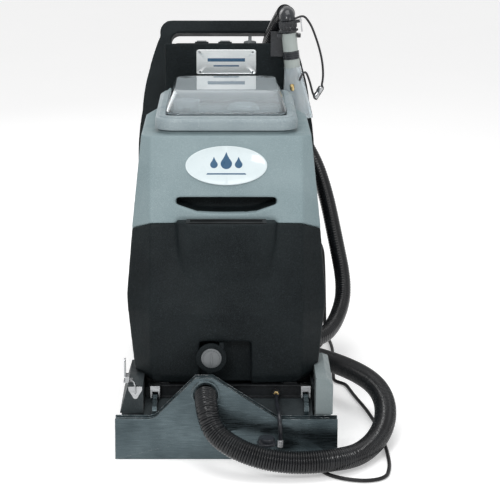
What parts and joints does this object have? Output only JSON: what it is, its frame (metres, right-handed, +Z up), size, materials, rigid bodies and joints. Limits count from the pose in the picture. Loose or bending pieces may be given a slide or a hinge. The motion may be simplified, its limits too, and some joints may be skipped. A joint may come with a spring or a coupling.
{
  "type": "spot extractor",
  "caption": "Walk-behind carpet spot extractor with a black solution tank, grey lift-off recovery tank under a clear lid, brush head, floating vacuum shoe, hoses and a hand tool.",
  "frame": {"origin": "middle of the vacuum shoe's floor lip at the front of the machine, on the floor", "axes": "+X to the right when facing the machine's front, +Y from the shoe back to the operator's handle, +Z up"},
  "size_m": [0.5963, 1.0148, 0.855],
  "materials": {
    "black_frame_steel": "powder coat",
    "textured_black_metal": "textured powder coat",
    "grey_cast_cover": "textured hammered grey",
    "bright_steel": "zinc plated",
    "motor_enamel": "enamel",
    "drive_rubber": "matte",
    "black_tank_plastic": "rotomoulded fine texture",
    "filter_mesh": "woven mesh",
    "grey_cap_plastic": "moulded",
    "nameplate_silver": "printed plate",
    "tubing_black": "satin",
    "spray_steel": "satin",
    "rubber_cap": "matte",
    "corrugated_hose": "ribbed gloss",
    "cord_rubber": "satin",
    "holder_plastic": "moulded",
    "brush_core_plastic": "moulded",
    "bristle_nylon": "tufted nylon",
    "shoe_aluminium": "brushed cast",
    "grey_tank_plastic": "rotomoulded speckled",
    "frosted_plastic": "frosted",
    "clear_plastic": "clear moulded",
    "float_white": "smooth",
    "tyre_rubber": "matte",
    "wheel_hub_plastic": "moulded",
    "tool_tube_grey": "extruded",
    "clear_tube": "smooth",
    "trigger_metal": "plated"
  },
  "bodies": {
    "root": {"chassis_frame": "black_frame_steel", "front_crossbar": "black_frame_steel", "brush_deck": "textured_black_metal", "left_end_housing": "textured_black_metal", "belt_cover": "grey_cast_cover", "latch_plates": "bright_steel", "brush_bearings": "bright_steel", "brush_motor": "motor_enamel", "drive_belt": "drive_rubber", "shoe_hangers": "bright_steel", "solution_tank": "black_tank_plastic", "fill_strainer": "filter_mesh", "drain_flange": "black_tank_plastic", "rear_housing": "black_tank_plastic", "control_panel": "black_tank_plastic", "nameplate": "nameplate_silver", "nameplate_screws": "bright_steel", "vacuum_motor": "motor_enamel", "duct_seals": "drive_rubber", "rear_axle": "bright_steel", "spray_pump": "motor_enamel", "solution_lines": "tubing_black", "spray_bar": "spray_steel", "tethered_cap": "rubber_cap", "hose_manifold": "tubing_black", "floor_hose": "corrugated_hose", "tool_hose": "corrugated_hose", "power_cord": "cord_rubber", "tool_holder": "holder_plastic"},
    "left_wheel": {"rear_tyre_left": "tyre_rubber", "rear_hub_left": "wheel_hub_plastic"},
    "right_wheel": {"rear_tyre_right": "tyre_rubber", "rear_hub_right": "wheel_hub_plastic"},
    "brush": {"brush_core": "brush_core_plastic", "brush_bristles": "bristle_nylon", "brush_pulley_wheel": "bright_steel"},
    "motor_drive": {"motor_pulley_wheel": "bright_steel"},
    "vacuum_fan": {"vacuum_impeller": "motor_enamel"},
    "shoe": {"shoe_front_plate": "shoe_aluminium", "shoe_rear_shell": "shoe_aluminium", "hose_cuff": "corrugated_hose", "shoe_arms": "shoe_aluminium"},
    "drain_plug": {"drain_cap": "grey_cap_plastic"},
    "recovery": {"recovery_tank": "grey_tank_plastic", "badge_plate": "nameplate_silver", "separator_tray": "frosted_plastic", "inlet_baffle": "frosted_plastic"},
    "float": {"float_ball": "float_white"},
    "lid": {"dome_lid": "clear_plastic", "lid_seal": "drive_rubber"},
    "rocker_left": {"rocker_switch_left": "grey_cap_plastic"},
    "rocker_right": {"rocker_switch_right": "grey_cap_plastic"},
    "knob": {"speed_knob": "grey_cap_plastic"},
    "latch_handle": {"latch_lever": "bright_steel"},
    "latch_loop": {"latch_bail": "bright_steel"},
    "hand_tool": {"tool_head": "clear_plastic", "tool_tubes": "tool_tube_grey", "tool_grip": "holder_plastic", "tool_solution_tube": "clear_tube"},
    "trigger": {"tool_trigger": "trigger_metal"}
  },
  "joints": [
    {"name": "left_wheel_spin", "type": "hinge", "parent": "root", "child": "left_wheel", "pos_m": [-0.208, 0.7, 0.12], "axis": [1, 0, 0], "continuous": true},
    {"name": "right_wheel_spin", "type": "hinge", "parent": "root", "child": "right_wheel", "pos_m": [0.208, 0.7, 0.12], "axis": [1, 0, 0], "continuous": true},
    {"name": "brush_spin", "type": "hinge", "parent": "root", "child": "brush", "pos_m": [0, 0.14, 0.051], "axis": [1, 0, 0], "continuous": true},
    {"name": "motor_spin", "type": "hinge", "parent": "root", "child": "motor_drive", "pos_m": [0, 0.245, 0.078], "axis": [1, 0, 0], "continuous": true},
    {"name": "fan_spin", "type": "hinge", "parent": "root", "child": "vacuum_fan", "pos_m": [0, 0.728, 0.172], "axis": [0, 0, 1], "continuous": true},
    {"name": "shoe_float", "type": "hinge", "parent": "root", "child": "shoe", "pos_m": [0, 0.088, 0.109], "axis": [-1, 0, 0], "range_deg": [0, 4]},
    {"name": "drain_turn", "type": "hinge", "parent": "root", "child": "drain_plug", "pos_m": [-0.031, 0.075, 0.198], "axis": [0, 1, 0], "range_deg": [0, 90]},
    {"name": "recovery_lift", "type": "slide", "parent": "root", "child": "recovery", "axis": [0, 0, 1], "range_m": [0, 0.3]},
    {"name": "float_rise", "type": "slide", "parent": "recovery", "child": "float", "axis": [0, 0, 1], "range_m": [0, 0.009]},
    {"name": "lid_lift", "type": "slide", "parent": "recovery", "child": "lid", "axis": [0, 0, 1], "range_m": [0, 0.14]},
    {"name": "rocker_left_press", "type": "hinge", "parent": "root", "child": "rocker_left", "pos_m": [-0.058, 0.69924, 0.75719], "axis": [-1, 0, 0], "range_deg": [0, 8]},
    {"name": "rocker_right_press", "type": "hinge", "parent": "root", "child": "rocker_right", "pos_m": [-0.003, 0.69924, 0.75719], "axis": [-1, 0, 0], "range_deg": [0, 8]},
    {"name": "knob_turn", "type": "hinge", "parent": "root", "child": "knob", "pos_m": [0.056, 0.70039, 0.75996], "axis": [0, 0.3836, 0.9235], "range_deg": [-135, 135]},
    {"name": "latch_open", "type": "hinge", "parent": "root", "child": "latch_handle", "pos_m": [-0.206, 0.068, 0.155], "axis": [0, -1, 0], "range_deg": [0, 60]},
    {"name": "latch_unhook", "type": "hinge", "parent": "root", "child": "latch_loop", "pos_m": [-0.206, 0.054, 0.155], "axis": [0, -1, 0], "range_deg": [0, 30]},
    {"name": "tool_lift", "type": "slide", "parent": "root", "child": "hand_tool", "axis": [-0.1141, 0, 0.9935], "range_m": [0, 0.06]},
    {"name": "trigger_squeeze", "type": "hinge", "parent": "hand_tool", "child": "trigger", "pos_m": [0.17284, 0.642, 0.82396], "axis": [0, 1, 0], "range_deg": [0, 8]}
  ],
  "couplings": [
    {"joint": "motor_spin", "follows": "brush_spin", "ratio": 1.75},
    {"joint": "latch_unhook", "follows": "latch_open", "ratio": 0.5}
  ]
}
